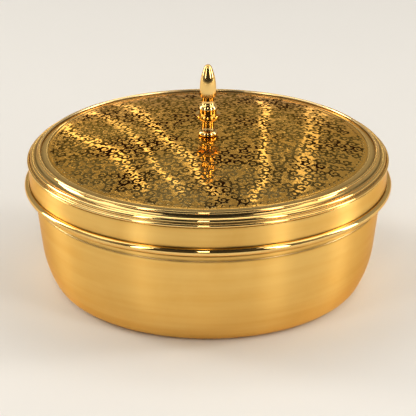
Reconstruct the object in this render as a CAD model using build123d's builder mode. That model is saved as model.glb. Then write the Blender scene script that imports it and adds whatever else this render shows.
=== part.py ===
from build123d import *
import os
from math import asin, atan2, cos, degrees, radians, sin, sqrt, tan

os.makedirs("parts", exist_ok=True)

# Round brass spice box: a spun bowl, a slip-over lid with a turned finial, seven cups and a spoon.
# Millimetres, Z up, origin at the middle of the flat base. All radii are from the vertical axis.

# Sheet and fits
sheet = 1.2                 # brass sheet of the bowl and the lid
cup_sheet = 0.9             # thinner sheet of the cups
slip_fit = 0.4              # gap all round between the bowl's rolled rim and the lid's skirt
seat_fit = 0.3              # gap under a piece that rests on a curved edge
cup_fit = 0.8               # gap between the rims of neighbouring cups
ring_fit = 2.15             # gap between the ring's rims and the bowl's wall
stud_fit = 0.1              # gap round the finial's stud in the lid, the washer and the nut

# Bowl, from the flat base upwards
foot_r = 83.9               # flat that the bowl stands on
corner_r = 11.0             # tight turn from the flat into the belly
corner_turn = 62.0          # degrees turned by that corner
belly_r = 61.0              # long curve above the corner
wall_lean = 6.7             # degrees that the straight wall leans outwards
neck_z = 56.4               # height at which the leaning wall becomes the upright neck
neck_h = 22.2               # neck, up to the crest of the rolled rim
rim_roll_r = 1.5            # roll of the bowl's rim
line_groove_r = 0.45        # round groove spun at the foot of the neck

# Lid, measured from the seat that rests on the bowl's rim
skirt_drop = 15.1           # seat down to the middle of the lower bead
skirt_roll_r = 2.3          # lower bead, rolled outwards
skirt_roll_out = 0.55       # how far the middle of that roll stands outside the skirt's face
low_bead_r = 0.9            # small bead above the skirt
low_bead_rise = 0.4         # its height above the seat
top_bead_r = 1.3            # larger bead above and inside it
top_bead_in = 2.3           # how far its middle is inside the small bead's middle
top_bead_rise = 2.3         # its height above the seat
ridge_bead_r = 0.9          # thin ridge round the plate
ridge_in = 4.0              # how far the ridge is inside the larger bead's middle
ridge_rise = 5.6            # its height above the seat
ridge_proud = 0.6           # how far the middle of the ridge stands above the plate's edge
dome_rise = 8.9             # crown above the plate's edge
cove_sag = 0.6              # depth of the hollow between the ridge and the larger bead

# Finial, heights above the lid's crown
foot_face_r = 5.45          # flat that meets the lid
foot_bulb_r = 5.85          # widest part of the foot
foot_bulb_z = 1.1
foot_bulb_h = 3.3
low_neck_r = 3.8            # neck between the foot and the saucer, at its ends
neck_hollow = 0.3           # how far both necks curve in between their ends
saucer_z = 9.2              # where the lower neck flares into the saucer
saucer_h = 4.1
saucer_r = 7.5
saucer_swell = 1.0          # how far the saucer's rounded underside stands off a straight cone
saucer_lip = 0.45           # thickness of the saucer's edge
saucer_well = 1.6           # depth of the saucer beside the drum
drum_r = 5.2
drum_band_r = 5.45          # raised band at the top of the drum
drum_band_h = 0.9
drum_top_z = 17.4
shoulder_h = 2.3            # rounded shoulder over the drum
shoulder_swell = 0.3
high_neck_r = 3.75
bullet_z = 24.6             # lower edge of the bullet
bullet_r = 4.85
bullet_band_h = 4.3         # straight band at its lower end
ogive_h = 13.6              # curved part above the band
tip_r = 2.2
tip_h = 1.6                 # blunt rounded tip
stud_r = 2.0
stud_tail = 1.6             # stud below the nut

# Washer and nut under the lid
washer_r = 6.0
washer_t = 1.0
nut_flats = 7.0
nut_h = 3.2

# Cups
ring_count = 6
cup_lip_out = 1.4           # how far the lip stands outside the wall
cup_lip_t = 1.1             # thickness of the lip's edge
cup_lip_flare = 1.2         # height of the slope under the lip
cup_h = 40.0
cup_corner_r = 12.0         # rounded lower side
cup_lean = 7.4              # degrees that the cup's wall leans outwards

# Spoon
spoon_r = 11.0              # round bowl of the spoon
spoon_depth = 5.0
spoon_sheet = 1.0
spoon_tuck = 8.3            # middle of the spoon's bowl to the edge of the mouth that the bowl lies on
handle_t = 1.4
handle_over = 11.1          # how far the handle reaches past the mouth's other side
handle_root_w = 6.0
handle_waist_w = 4.0
handle_end_w = 6.0
handle_root_in = 1.2        # how far the handle runs into the rim of the spoon's bowl


def side_start(foot, corner, turn, inset):
    """The corner arc of a spun vessel, set into the sheet by inset."""
    return CenterArc((foot, corner), corner - inset, -90, turn)


# Bowl: centres and radii that the two faces of its sheet share
turn_a = radians(corner_turn)
lean_a = radians(wall_lean)
belly_x = foot_r + (corner_r - belly_r) * sin(turn_a)
belly_y = corner_r + (belly_r - corner_r) * cos(turn_a)
wall_start_r = belly_x + belly_r * cos(lean_a)
wall_start_z = belly_y - belly_r * sin(lean_a)
neck_r = wall_start_r + (neck_z - wall_start_z) * tan(lean_a)
rim_top_z = neck_z + neck_h
rim_roll_z = rim_top_z - rim_roll_r
rim_roll_mid_r = neck_r - sheet + rim_roll_r
rim_out_r = rim_roll_mid_r + rim_roll_r


def bowl_face_lines(inset):
    """One face of the bowl's sheet, from the flat base to the middle of the rim's roll."""
    corner = side_start(foot_r, corner_r, corner_turn, inset)
    belly = CenterArc((belly_x, belly_y), belly_r - inset, -90 + corner_turn, 90 - wall_lean - corner_turn)
    neck_foot = (neck_r - inset, neck_z + inset * tan(lean_a / 2))
    Line((0, inset), corner @ 0)
    Line(belly @ 1, neck_foot)
    Line(neck_foot, (neck_r - inset, rim_roll_z))


with BuildPart() as bowl:
    with BuildSketch(Plane.XZ):
        with BuildLine():
            bowl_face_lines(0)
            bowl_face_lines(sheet)
            Line((0, 0), (0, sheet))
            Line((neck_r - sheet, rim_roll_z), (neck_r, rim_roll_z))
        make_face()
        with Locations((rim_roll_mid_r, rim_roll_z)):
            Circle(rim_roll_r)
        with Locations((neck_r, neck_z)):
            Circle(line_groove_r, mode=Mode.SUBTRACT)
    revolve(axis=Axis.Z)
bowl.part.label = "bowl"

# Lid: it hangs by its seat on the bowl's rim, and its skirt slips over that rim
seat_z = rim_top_z + seat_fit
skirt_in_r = rim_out_r + slip_fit
skirt_r = skirt_in_r + sheet
skirt_roll_z = seat_z - skirt_drop
skirt_roll_mid_r = skirt_r + skirt_roll_out
low_bead_z = seat_z + low_bead_rise
top_bead_mid_r = skirt_r - top_bead_in
top_bead_z = seat_z + top_bead_rise
ridge_r = top_bead_mid_r - ridge_in
ridge_z = seat_z + ridge_rise
plate_r = ridge_r
plate_z = ridge_z - ridge_proud
crown_z = plate_z + dome_rise
dome_r = (plate_r**2 + dome_rise**2) / (2 * dome_rise)
seat_in_r = neck_r - 2 * sheet
crown_hole_r = stud_r + stud_fit


def dome_z(radius, inset):
    """Height of the domed plate's face at a radius."""
    return crown_z - dome_r + sqrt((dome_r - inset) ** 2 - radius**2)


with BuildPart() as lid:
    with BuildSketch(Plane.XZ):
        with BuildLine():
            inner_plate_r = ridge_r - sheet / 2
            cove_top = (ridge_r + ridge_bead_r / 2, ridge_z)
            cove_foot = (top_bead_mid_r, top_bead_z + top_bead_r / 2)
            RadiusArc((0, crown_z), (plate_r, plate_z), dome_r)
            Line((plate_r, plate_z), cove_top)
            SagittaArc(cove_top, cove_foot, cove_sag)
            Line(cove_foot, (skirt_r, low_bead_z))
            Line((skirt_r, low_bead_z), (skirt_r, skirt_roll_z))
            Line((skirt_r, skirt_roll_z), (skirt_in_r, skirt_roll_z))
            Line((skirt_in_r, skirt_roll_z), (skirt_in_r, seat_z))
            Line((skirt_in_r, seat_z), (seat_in_r, seat_z))
            Line((seat_in_r, seat_z), (inner_plate_r, dome_z(inner_plate_r, sheet)))
            RadiusArc((inner_plate_r, dome_z(inner_plate_r, sheet)), (0, crown_z - sheet), -(dome_r - sheet))
            Line((0, crown_z - sheet), (0, crown_z))
        make_face()
        with Locations((ridge_r, ridge_z)):
            Circle(ridge_bead_r)
        with Locations((top_bead_mid_r, top_bead_z)):
            Circle(top_bead_r)
        with Locations((skirt_r, low_bead_z)):
            Circle(low_bead_r)
        with Locations((skirt_roll_mid_r, skirt_roll_z)):
            Circle(skirt_roll_r)
        with Locations((skirt_in_r, skirt_roll_z)):
            Rectangle(2 * skirt_roll_r, 2 * skirt_roll_r, align=(Align.MAX, Align.CENTER), mode=Mode.SUBTRACT)
    revolve(axis=Axis.Z)
    with Locations((0, 0, crown_z)):
        Hole(crown_hole_r, 2 * sheet)
lid.part.label = "lid"

# Finial: one turned piece with its stud, standing on the lid's crown
washer_top_z = dome_z(washer_r, sheet)
nut_top_z = washer_top_z - washer_t
stud_end_z = nut_top_z - nut_h - stud_tail
stud_len = crown_z - stud_end_z
ogive_top_z = bullet_z + bullet_band_h + ogive_h
ogive_r = ((bullet_r - tip_r) ** 2 + ogive_h**2) / (2 * (bullet_r - tip_r))
tip_arc_r = (tip_r**2 + tip_h**2) / (2 * tip_h)

with BuildPart() as finial:
    with BuildSketch(Plane((0, 0, crown_z), x_dir=(1, 0, 0), z_dir=(0, -1, 0))):
        with BuildLine():
            saucer_top_z = saucer_z + saucer_h
            lip_in_r = saucer_r - saucer_lip
            drum_foot_z = saucer_top_z - saucer_well
            band_z = drum_top_z - drum_band_h
            neck_foot_z = drum_top_z + shoulder_h
            Line((0, -stud_len), (stud_r, -stud_len))
            Line((stud_r, -stud_len), (stud_r, 0))
            Line((stud_r, 0), (foot_face_r, 0))
            ThreePointArc((foot_face_r, 0), (foot_bulb_r, foot_bulb_z), (low_neck_r, foot_bulb_h))
            SagittaArc((low_neck_r, foot_bulb_h), (low_neck_r, saucer_z), neck_hollow)
            SagittaArc((low_neck_r, saucer_z), (saucer_r, saucer_top_z), -saucer_swell)
            Line((saucer_r, saucer_top_z), (lip_in_r, saucer_top_z))
            Line((lip_in_r, saucer_top_z), (drum_r, drum_foot_z))
            Line((drum_r, drum_foot_z), (drum_r, band_z))
            Line((drum_r, band_z), (drum_band_r, band_z))
            Line((drum_band_r, band_z), (drum_band_r, drum_top_z))
            SagittaArc((drum_band_r, drum_top_z), (high_neck_r, neck_foot_z), -shoulder_swell)
            SagittaArc((high_neck_r, neck_foot_z), (high_neck_r, bullet_z), neck_hollow)
            Line((high_neck_r, bullet_z), (bullet_r, bullet_z))
            Line((bullet_r, bullet_z), (bullet_r, bullet_z + bullet_band_h))
            RadiusArc((bullet_r, bullet_z + bullet_band_h), (tip_r, ogive_top_z), -ogive_r)
            RadiusArc((tip_r, ogive_top_z), (0, ogive_top_z + tip_h), -tip_arc_r)
            Line((0, ogive_top_z + tip_h), (0, -stud_len))
        make_face()
    revolve(axis=Axis.Z)
finial.part.label = "finial"

with BuildPart() as finial_washer:
    with BuildSketch(Plane.XY.offset(nut_top_z)):
        Circle(washer_r)
        Circle(crown_hole_r, mode=Mode.SUBTRACT)
    extrude(amount=washer_t)
finial_washer.part.label = "finial_washer"

with BuildPart() as finial_nut:
    with BuildSketch(Plane.XY.offset(nut_top_z - nut_h)):
        RegularPolygon(nut_flats / 2, 6, major_radius=False)
        Circle(crown_hole_r, mode=Mode.SUBTRACT)
    extrude(amount=nut_h)
finial_nut.part.label = "finial_nut"

# Cups: one in the middle and a ring round it, as wide as the bowl's wall leaves room for at their rims
floor_z = sheet
cup_top_z = floor_z + cup_h
wall_in_r = neck_r - max(neck_z - cup_top_z, 0) * tan(lean_a) - sheet / cos(lean_a)
ring_reach_r = wall_in_r - ring_fit
half_step = sin(radians(180 / ring_count))
cup_rim_r = min((ring_reach_r - cup_fit) / 3, (ring_reach_r * half_step - cup_fit / 2) / (1 + half_step))
ring_pitch_r = ring_reach_r - cup_rim_r
cup_wall_top_r = cup_rim_r - cup_lip_out
cup_mouth_r = cup_wall_top_r - cup_sheet
cup_lean_a = radians(cup_lean)
cup_corner_top_z = cup_corner_r * (1 - sin(cup_lean_a))
cup_foot_r = cup_wall_top_r - (cup_h - cup_corner_top_z) * tan(cup_lean_a) - cup_corner_r * cos(cup_lean_a)


def cup_face_lines(inset):
    """One face of a cup's sheet, from its flat foot to its lip."""
    corner = side_start(cup_foot_r, cup_corner_r, 90 - cup_lean, inset)
    Line((0, inset), corner @ 0)
    Line(corner @ 1, (cup_wall_top_r - inset, cup_h))


def make_cup(label, x, y):
    """A spun cup with a flat foot, a rounded lower side and a turned-out lip."""
    lip_edge_z = cup_h - cup_lip_t
    lip_root_z = lip_edge_z - cup_lip_flare
    with BuildPart() as cup:
        with BuildSketch(Plane((x, y, floor_z), x_dir=(1, 0, 0), z_dir=(0, -1, 0))):
            with BuildLine():
                cup_face_lines(0)
                cup_face_lines(cup_sheet)
                Line((0, 0), (0, cup_sheet))
                Line((cup_mouth_r, cup_h), (cup_wall_top_r, cup_h))
            make_face()
            with BuildLine():
                lip_root_r = cup_wall_top_r - cup_sheet / 2
                lip_edge = [(cup_rim_r, cup_h), (cup_rim_r, lip_edge_z)]
                Polyline((lip_root_r, cup_h), *lip_edge, (lip_root_r, lip_root_z), close=True)
            make_face()
        revolve(axis=Axis((x, y, 0), (0, 0, 1)))
    cup.part.label = label
    return cup.part


cups = [make_cup("cup_centre", 0, 0)]
for index in range(ring_count):
    angle = radians(360 / ring_count * (index + 0.5))
    cups.append(make_cup(f"cup_{index + 1}", ring_pitch_r * cos(angle), ring_pitch_r * sin(angle)))

# Spoon: it lies across the middle cup's mouth, its bowl over one side and its handle over the other,
# pointing between two cups of the ring
dish_r = (spoon_r**2 + spoon_depth**2) / (2 * spoon_depth)
dish_rise = dish_r - spoon_depth
dish_drop = sqrt(dish_r**2 - spoon_tuck**2) - dish_rise
lean = atan2(dish_drop - handle_t / 2, 2 * cup_mouth_r)
handle_reach = 2 * cup_mouth_r - spoon_tuck + handle_over
spoon_x = spoon_tuck - cup_mouth_r
spoon_z = cup_top_z + seat_fit + dish_drop - spoon_tuck * tan(lean)
spoon_plane = Plane((spoon_x, 0, spoon_z), x_dir=(cos(lean), 0, -sin(lean)), z_dir=(sin(lean), 0, cos(lean)))
dish_plane = Plane(spoon_plane.origin, x_dir=spoon_plane.x_dir, z_dir=-spoon_plane.y_dir)
dish_face_r = dish_r - spoon_sheet
dish_in_r = sqrt(dish_face_r**2 - dish_rise**2)

with BuildPart() as spoon:
    with BuildSketch(dish_plane):
        with BuildLine():
            outside = CenterArc((0, dish_rise), dish_r, -90, degrees(asin(spoon_r / dish_r)))
            inside = CenterArc((0, dish_rise), dish_face_r, -90, degrees(asin(dish_in_r / dish_face_r)))
            Line(outside @ 1, inside @ 1)
            Line(inside @ 0, outside @ 0)
        make_face()
    revolve(axis=Axis(spoon_plane.origin, spoon_plane.z_dir))
    with BuildSketch(spoon_plane):
        with BuildLine():
            root_x = spoon_r - handle_root_in
            waist_x = (spoon_r + handle_reach) / 3
            end_x = handle_reach - handle_end_w / 2
            Line((root_x, -handle_root_w / 2), (root_x, handle_root_w / 2))
            Line((root_x, handle_root_w / 2), (waist_x, handle_waist_w / 2))
            Line((waist_x, handle_waist_w / 2), (end_x, handle_end_w / 2))
            ThreePointArc((end_x, handle_end_w / 2), (handle_reach, 0), (end_x, -handle_end_w / 2))
            Line((end_x, -handle_end_w / 2), (waist_x, -handle_waist_w / 2))
            Line((waist_x, -handle_waist_w / 2), (root_x, -handle_root_w / 2))
        make_face()
    extrude(amount=handle_t / 2, both=True)
spoon.part.label = "spoon"

# Every piece goes to its own file, named by its label
pieces = [bowl.part, lid.part, finial.part, finial_washer.part, finial_nut.part, *cups, spoon.part]
for piece in pieces:
    export_step(piece, f"parts/{piece.label}.step")

print(f"neck radius {neck_r:.2f}, skirt radius {skirt_r:.2f}")
print(f"lower bead out to {skirt_roll_mid_r + skirt_roll_r:.2f}, ridge radius {ridge_r:.2f} at {ridge_z:.2f}")
print(f"crown {crown_z:.2f}, dome radius {dome_r:.1f}, top of finial {crown_z + ogive_top_z + tip_h:.2f}")
print(f"stud end {stud_end_z:.2f}, cup pitch {ring_pitch_r:.2f}")
print(f"cup rim radius {cup_rim_r:.2f}, foot radius {cup_foot_r:.2f}, mouth radius {cup_mouth_r:.2f}")
print(f"spoon middle x {spoon_x:.2f} z {spoon_z:.2f}, lean {degrees(lean):.2f}, reach {handle_reach:.2f}")
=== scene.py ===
"""Looks of a round brass spice box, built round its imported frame."""

import math
import random

import bmesh
import bpy
from mathutils import Matrix, Quaternion, Vector


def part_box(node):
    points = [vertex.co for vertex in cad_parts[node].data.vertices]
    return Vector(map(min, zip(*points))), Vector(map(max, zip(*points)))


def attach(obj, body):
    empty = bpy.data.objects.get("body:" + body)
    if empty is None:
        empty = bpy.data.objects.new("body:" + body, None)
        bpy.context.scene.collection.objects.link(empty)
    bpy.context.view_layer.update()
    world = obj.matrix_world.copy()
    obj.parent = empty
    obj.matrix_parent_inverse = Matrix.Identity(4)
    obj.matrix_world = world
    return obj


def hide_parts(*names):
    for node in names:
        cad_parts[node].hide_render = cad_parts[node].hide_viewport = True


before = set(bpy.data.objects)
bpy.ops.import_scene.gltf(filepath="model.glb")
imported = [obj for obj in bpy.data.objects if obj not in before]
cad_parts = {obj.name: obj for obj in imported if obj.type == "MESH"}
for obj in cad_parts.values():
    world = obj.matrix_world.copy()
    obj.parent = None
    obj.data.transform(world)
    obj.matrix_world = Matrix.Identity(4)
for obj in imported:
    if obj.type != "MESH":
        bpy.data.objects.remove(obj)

bl_info = {
    "name": "Brass Spice Box",
    "version": (1, 0, 0),
    "blender": (4, 5, 0),
    "location": "View3D > Sidebar > Spice Box",
    "description": "Builds the looks of a round brass spice box with an engraved lid",
    "category": "Object",
}

MM = 0.001
FULL_TURN = 2 * math.pi

# Corners of the frame's pieces, in millimetres
BOWL_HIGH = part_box("bowl")[1] / MM
WASHER_LOW, WASHER_HIGH = (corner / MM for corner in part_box("finial_washer"))
NUT_LOW, NUT_HIGH = (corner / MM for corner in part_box("finial_nut"))
FINIAL_LOW, FINIAL_HIGH = (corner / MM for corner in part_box("finial"))

# Steps of a full spin
BOWL_STEPS = 256
LID_STEPS = 320
CUP_STEPS = 112
FINIAL_STEPS = 96
SMALL_STEPS = 64

# Tint of brass and of its cuts at a low angle, where metal would otherwise turn white
EDGE_TINT = (1.0, 0.76, 0.50, 1.0)
CUT_EDGE_TINT = (0.55, 0.42, 0.28, 1.0)

# Distance over which a groove's dark film, painted shade with some tarnish, fades, in millimetres
FILM_AND_SHADE_REACH = 0.5
FINIAL_FILM_AND_SHADE_REACH = 0.6

# Bowl, in millimetres
SHEET = 1.2
FOOT_R = 83.9
CORNER_R = 11.0
CORNER_TURN = math.radians(62.0)
BELLY_R = 61.0
WALL_LEAN = math.radians(6.7)
NECK_Z = 56.4
RIM_ROLL_R = 1.5
RIM_CREASE_OUT = 0.4
RIM_CREASE_DROP = 3.2
LINE_GROOVE_R = 0.45
INSIDE_TOP_Z = 60.0

# Lid, in millimetres, from its seat on the bowl's rim
SEAT_GAP = 0.3
SEAT_Z = BOWL_HIGH.z + SEAT_GAP
SKIRT_R = 107.15
SKIRT_ROLL_R = 2.3
SKIRT_ROLL_MID = (107.7, SEAT_Z - 15.1)
LOW_BEAD_R = 0.9
LOW_BEAD_MID = (SKIRT_R, SEAT_Z + 0.4)
UNDERCUT_H = 0.35
UNDERCUT = ((-0.35, 0.28), (-0.30, 0.05), (0.0, -0.25))
BEAD_CREASE = (106.3, SEAT_Z + 1.305)
TOP_BEAD_R = 1.3
TOP_BEAD_MID = (104.85, SEAT_Z + 2.3)
RIDGE_R = 0.9
COVE_SAG = 0.25
COVE_FLOOR = (103.2, SEAT_Z + 4.105)
RIDGE_MID = (100.85, SEAT_Z + 5.6)
RIDGE_CREASE_IN = 0.95
PLATE_DROP = 0.6
PLATE_Z = RIDGE_MID[1] - PLATE_DROP
PLATE_RINGS = 40
DOME_RISE = 8.9
CROWN_Z = PLATE_Z + DOME_RISE
DOME_R = (RIDGE_MID[0] ** 2 + DOME_RISE**2) / (2 * DOME_RISE)
CROWN_HOLE_R = 2.1
FIELD_R = 95.4
EDGE_LINE_DEPTH = 0.14
EDGE_LINE_HALF = 0.3
EDGE_LINE_CLEAR = 1.0

# Height on the bowl's neck of a painted shadow line under the lid's rolled edge, where some dirt also gathers
SHADE_LINE_Z = SKIRT_ROLL_MID[1] - 4.3

# Finial, in millimetres, with its points as (radius, height above the plate's crown)
STUD_R = 2.0
STUD_LEAD = 0.3
THREAD_DEPTH = 0.22
THREAD_PITCH = 0.7
FOOT_BULB = ((5.68, 2.0), (5.35, 2.6), (4.8, 3.0))
LOW_NECK = ((3.95, 3.35), (3.85, 9.1))
SAUCER = ((4.0, 9.25), (7.45, 13.0))
SAUCER_LIP = ((7.5, 13.2), (7.44, 13.3), (7.15, 13.3))
SAUCER_WELL = ((7.05, 13.2), (5.35, 11.75))
DRUM = ((5.2, 12.0), (5.15, 14.0), (5.2, 16.35), (5.38, 16.5), (5.45, 16.65), (5.45, 17.3))
SHOULDER = ((5.4, 17.45), (3.85, 19.6))
HIGH_NECK = ((3.75, 19.8), (3.75, 24.4))
BULLET_EDGE = ((4.0, 24.58), (4.7, 24.62), (4.85, 24.8), (4.86, 28.85))
BULLET_R = 4.85
BULLET_Z = 28.9
BULLET_RISE = 13.6
TIP_R = 2.2
TIP_H = 1.6
FINIAL_CREASES = ((5.2, 0.0), (5.3, 12.7), (4.0, 24.3), (4.0, 3.4))
SMALL_SOFT_EDGE = 0.15
NUT_CHAMFER = 0.55

# Cups, in millimetres
RING_COUNT = 6
CUP_SHEET = 0.9
CUP_RIM_R = (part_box("cup_centre")[1].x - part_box("cup_centre")[0].x) / MM / 2
CUP_H = 40.0
CUP_FOOT_R = 15.46
CUP_CORNER_R = 12.0
CUP_LEAN = math.radians(7.4)
CUP_LIP_OUT = 1.4
CUP_LIP_T = 1.1
CUP_LIP_FLARE = 1.2
CUP_LIP_ROOT = 0.1
CUP_LIP_SOFT = 0.25

# Spoon, in millimetres, with half widths of its handle
SPOON_R = 11.0
SPOON_DEPTH = 5.0
SPOON_SHEET = 1.0
SPOON_LEAN = math.radians(-1.62)
HANDLE_T = 1.4
HANDLE_REACH = 63.4
HANDLE_LAP = 1.2
HANDLE_WIDE = 3.0
HANDLE_WAIST = 2.0
HANDLE_END = 0.2
HANDLE_HOLLOW = 0.25
HANDLE_SINK = 0.1
HANDLE_ROUNDING = 0.12

# Engraving, with lengths in millimetres
STROKE_HEIGHTS = (-0.35, 1.0, 0.15, 1.0, -0.35)
STROKE_DARKNESS = (0.0, 0.85, 1.0, 0.85, 0.0)
SCROLL_KINDS = 9
FIELD_HOLE_R = 10.0
FIELD_MARGIN = 4.6
BORDER_COUNT = 132
BORDER_MARGIN = 2.4
BORDER_LEAF = 2.0
BORDER_LEAN = 0.5

# Spun finishes: colour, shade, least and most roughness, lines per metre, their depth, amount of groove film
# (painted shade with some tarnish), anisotropy
SPUN_FINISHES = {
    "Satin Brass": ("satin", "shade", 0.30, 0.32, 2600.0, 0.000005, 0.9, 0.9),
    "Polished Brass": ("polished", "shade", 0.04, 0.06, 1500.0, 0.000001, 1.0, 0.1),
    "Inside Brass": ("inside", "inside_shade", 0.24, 0.34, 1800.0, 0.000015, 0.6, 0.5),
    "Cup Brass": ("inside", "inside_shade", 0.18, 0.30, 2200.0, 0.000010, 0.7, 0.5),
    "Spoon Brass": ("inside", "inside_shade", 0.16, 0.26, 500.0, 0.000005, 0.6, 0.1),
    "Plain Brass": ("inside", "inside_shade", 0.26, 0.36, 1200.0, 0.000010, 0.6, 0.2),
}

# Lamps: degrees to the right of the camera and above level, metres away, size, glow, lean in degrees
LAMPS = {
    "soft_lamp_left": (-100, 58, 1.9, (1.30, 1.10), 1.8, 0),
    "soft_lamp_right": (100, 58, 1.9, (1.30, 1.10), 1.8, 0),
    "high_back_lamp": (180, 64, 1.8, (1.50, 0.42), 2.4, 0),
    "front_lamp": (-3, 42, 1.7, (0.17, 0.44), 10.0, 0),
    "key_lamp": (-42, 26, 1.7, (0.20, 1.20), 8.0, 0),
    "fill_lamp": (44, 26, 1.7, (0.26, 1.20), 9.0, 0),
    "right_lamp": (92, 20, 1.6, (0.34, 1.10), 9.0, 0),
    "left_lamp": (-108, 20, 1.6, (0.40, 1.10), 8.0, 0),
    "back_strip_1": (191.0, 21, 1.7, (0.040, 1.10), 2.1, 6),
    "back_strip_2": (187.0, 23, 1.7, (0.022, 1.10), 2.2, 8),
    "back_strip_3": (183.5, 23, 1.7, (0.028, 1.10), 2.1, 10),
    "back_strip_4": (174.5, 24, 1.7, (0.026, 1.10), 2.0, 6),
    "back_strip_5": (170.0, 22, 1.7, (0.045, 1.10), 1.1, 6),
}

# Brightness of the surroundings from level, at 0, to straight up, at 1
SKY_STOPS = ((0.0, 0.44), (0.07, 0.42), (0.30, 0.38), (0.68, 0.32), (0.84, 0.05), (1.0, 0.02))

# Radius of the floor, in metres
FLOOR_R = 14.0


class BrassColours(bpy.types.PropertyGroup):
    """Colours of the box's finishes"""

    satin: bpy.props.FloatVectorProperty(
        name="Satin brass", description="Spun satin brass of the bowl and the lid's skirt",
        subtype="COLOR", size=3, min=0, max=1, default=(0.91, 0.59, 0.175))
    polished: bpy.props.FloatVectorProperty(
        name="Polished brass", description="Polished brass of the lid's rim, its beads and the finial",
        subtype="COLOR", size=3, min=0, max=1, default=(0.93, 0.66, 0.26))
    inside: bpy.props.FloatVectorProperty(
        name="Inside brass", description="Paler brass of the cups, the spoon, the nut and the insides",
        subtype="COLOR", size=3, min=0, max=1, default=(0.93, 0.75, 0.42))
    inside_shade: bpy.props.FloatVectorProperty(
        name="Inside shade", description="Warmer tone in that paler brass",
        subtype="COLOR", size=3, min=0, max=1, default=(0.88, 0.66, 0.33))
    shade: bpy.props.FloatVectorProperty(
        name="Warm shade", description="Warmer tone that streaks and handling leave in the brass",
        subtype="COLOR", size=3, min=0, max=1, default=(0.80, 0.43, 0.085))
    bronze: bpy.props.FloatVectorProperty(
        name="Engraved ground", description="Brass between the cuts of the engraved field",
        subtype="COLOR", size=3, min=0, max=1, default=(0.86, 0.49, 0.11))
    # This dark colour is painted shade, with some tarnish, in grooves and creases, and it also darkens the
    # engraved cuts
    tarnish: bpy.props.FloatVectorProperty(
        name="Tarnish", description="Dark film that stays in cuts and grooves",
        subtype="COLOR", size=3, min=0, max=1, default=(0.020, 0.010, 0.003))


class EngravingSizes(bpy.types.PropertyGroup):
    """Sizes of the lid's engraving, in metres"""

    spacing: bpy.props.FloatProperty(
        name="Scroll spacing", description="Distance between the middles of neighbouring scrolls",
        subtype="DISTANCE", unit="LENGTH", default=0.0084, min=0.004, max=0.02)
    stroke: bpy.props.FloatProperty(
        name="Stroke width", description="Widest part of an engraved stroke",
        subtype="DISTANCE", unit="LENGTH", default=0.0020, min=0.0002, max=0.004)
    burr: bpy.props.FloatProperty(
        name="Burr height", description="How far a stroke's raised burr stands above the plate",
        subtype="DISTANCE", unit="LENGTH", default=0.00006, min=0.00001, max=0.0002)
    seed: bpy.props.IntProperty(
        name="Seed", description="Picks another hand-cut layout of the same pattern", default=7, min=0)


class StudioSettings(bpy.types.PropertyGroup):
    """Camera and light"""

    distance: bpy.props.FloatProperty(
        name="Camera distance", description="From the camera to the middle of the box",
        subtype="DISTANCE", unit="LENGTH", default=1.300, min=0.3, max=5)
    elevation: bpy.props.FloatProperty(
        name="Camera elevation", description="Angle of the view above level",
        subtype="ANGLE", unit="ROTATION", default=math.radians(22.91), min=0, max=1.5)
    aim: bpy.props.FloatProperty(
        name="Aim height", description="Height on the box's axis at which the camera looks",
        subtype="DISTANCE", unit="LENGTH", default=0.04516, min=0, max=0.3)
    lens: bpy.props.FloatProperty(
        name="Lens", description="Focal length for a 36 mm sensor, in millimetres",
        default=186.0, min=20, max=600)
    lamp_colour: bpy.props.FloatVectorProperty(
        name="Lamp colour", description="Colour of every lamp",
        subtype="COLOR", size=3, min=0, max=1, default=(1.0, 0.95, 0.87))
    level: bpy.props.FloatProperty(
        name="Light level", description="Multiplies every lamp", default=0.95, min=0.1, max=5)
    floor: bpy.props.FloatVectorProperty(
        name="Floor", description="Colour of the plain floor",
        subtype="COLOR", size=3, min=0, max=1, default=(0.80, 0.79, 0.77))


class SpiceBoxSettings(bpy.types.PropertyGroup):
    """All settings of the spice box"""

    colours: bpy.props.PointerProperty(type=BrassColours)
    engraving: bpy.props.PointerProperty(type=EngravingSizes)
    studio: bpy.props.PointerProperty(type=StudioSettings)


# Mesh helpers


def arc(middle, radius, start, end, steps):
    """Points of an arc about middle, from one angle in degrees to another."""
    angles = [math.radians(start + (end - start) * i / steps) for i in range(steps + 1)]
    return [(middle[0] + radius * math.cos(a), middle[1] + radius * math.sin(a)) for a in angles]


def bulge(start, end, sag, steps):
    """Points between two ends of a shallow curve that stands off their chord by sag, to its left."""
    run = Vector(end) - Vector(start)
    left = Vector((-run.y, run.x)).normalized()
    ts = [i / steps for i in range(steps + 1)]
    return [tuple(Vector(start) + run * t + left * (4 * sag * t * (1 - t))) for t in ts]


def spun(profile, steps, axis_point=(0.0, 0.0)):
    """A closed mesh spun from a loop of (radius, height) points in millimetres round an upright axis."""
    bm = bmesh.new()
    pairs = zip(profile, profile[1:])
    points = [profile[0], *(p for last, p in pairs if (Vector(p) - Vector(last)).length > 1e-4)]
    verts = [bm.verts.new((axis_point[0] * MM + r * MM, axis_point[1] * MM, z * MM)) for r, z in points]
    edges = [bm.edges.new(pair) for pair in zip(verts, verts[1:])]
    on_axis = points[0][0] < 1e-6 and points[-1][0] < 1e-6
    if not on_axis:
        edges.append(bm.edges.new((verts[-1], verts[0])))
    bmesh.ops.spin(
        bm, geom=verts + edges, cent=(axis_point[0] * MM, axis_point[1] * MM, 0), axis=(0, 0, 1),
        dvec=(0, 0, 0), angle=FULL_TURN, steps=steps, use_merge=True, use_duplicate=False)
    bmesh.ops.remove_doubles(bm, verts=bm.verts, dist=2e-6)
    return bm


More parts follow.
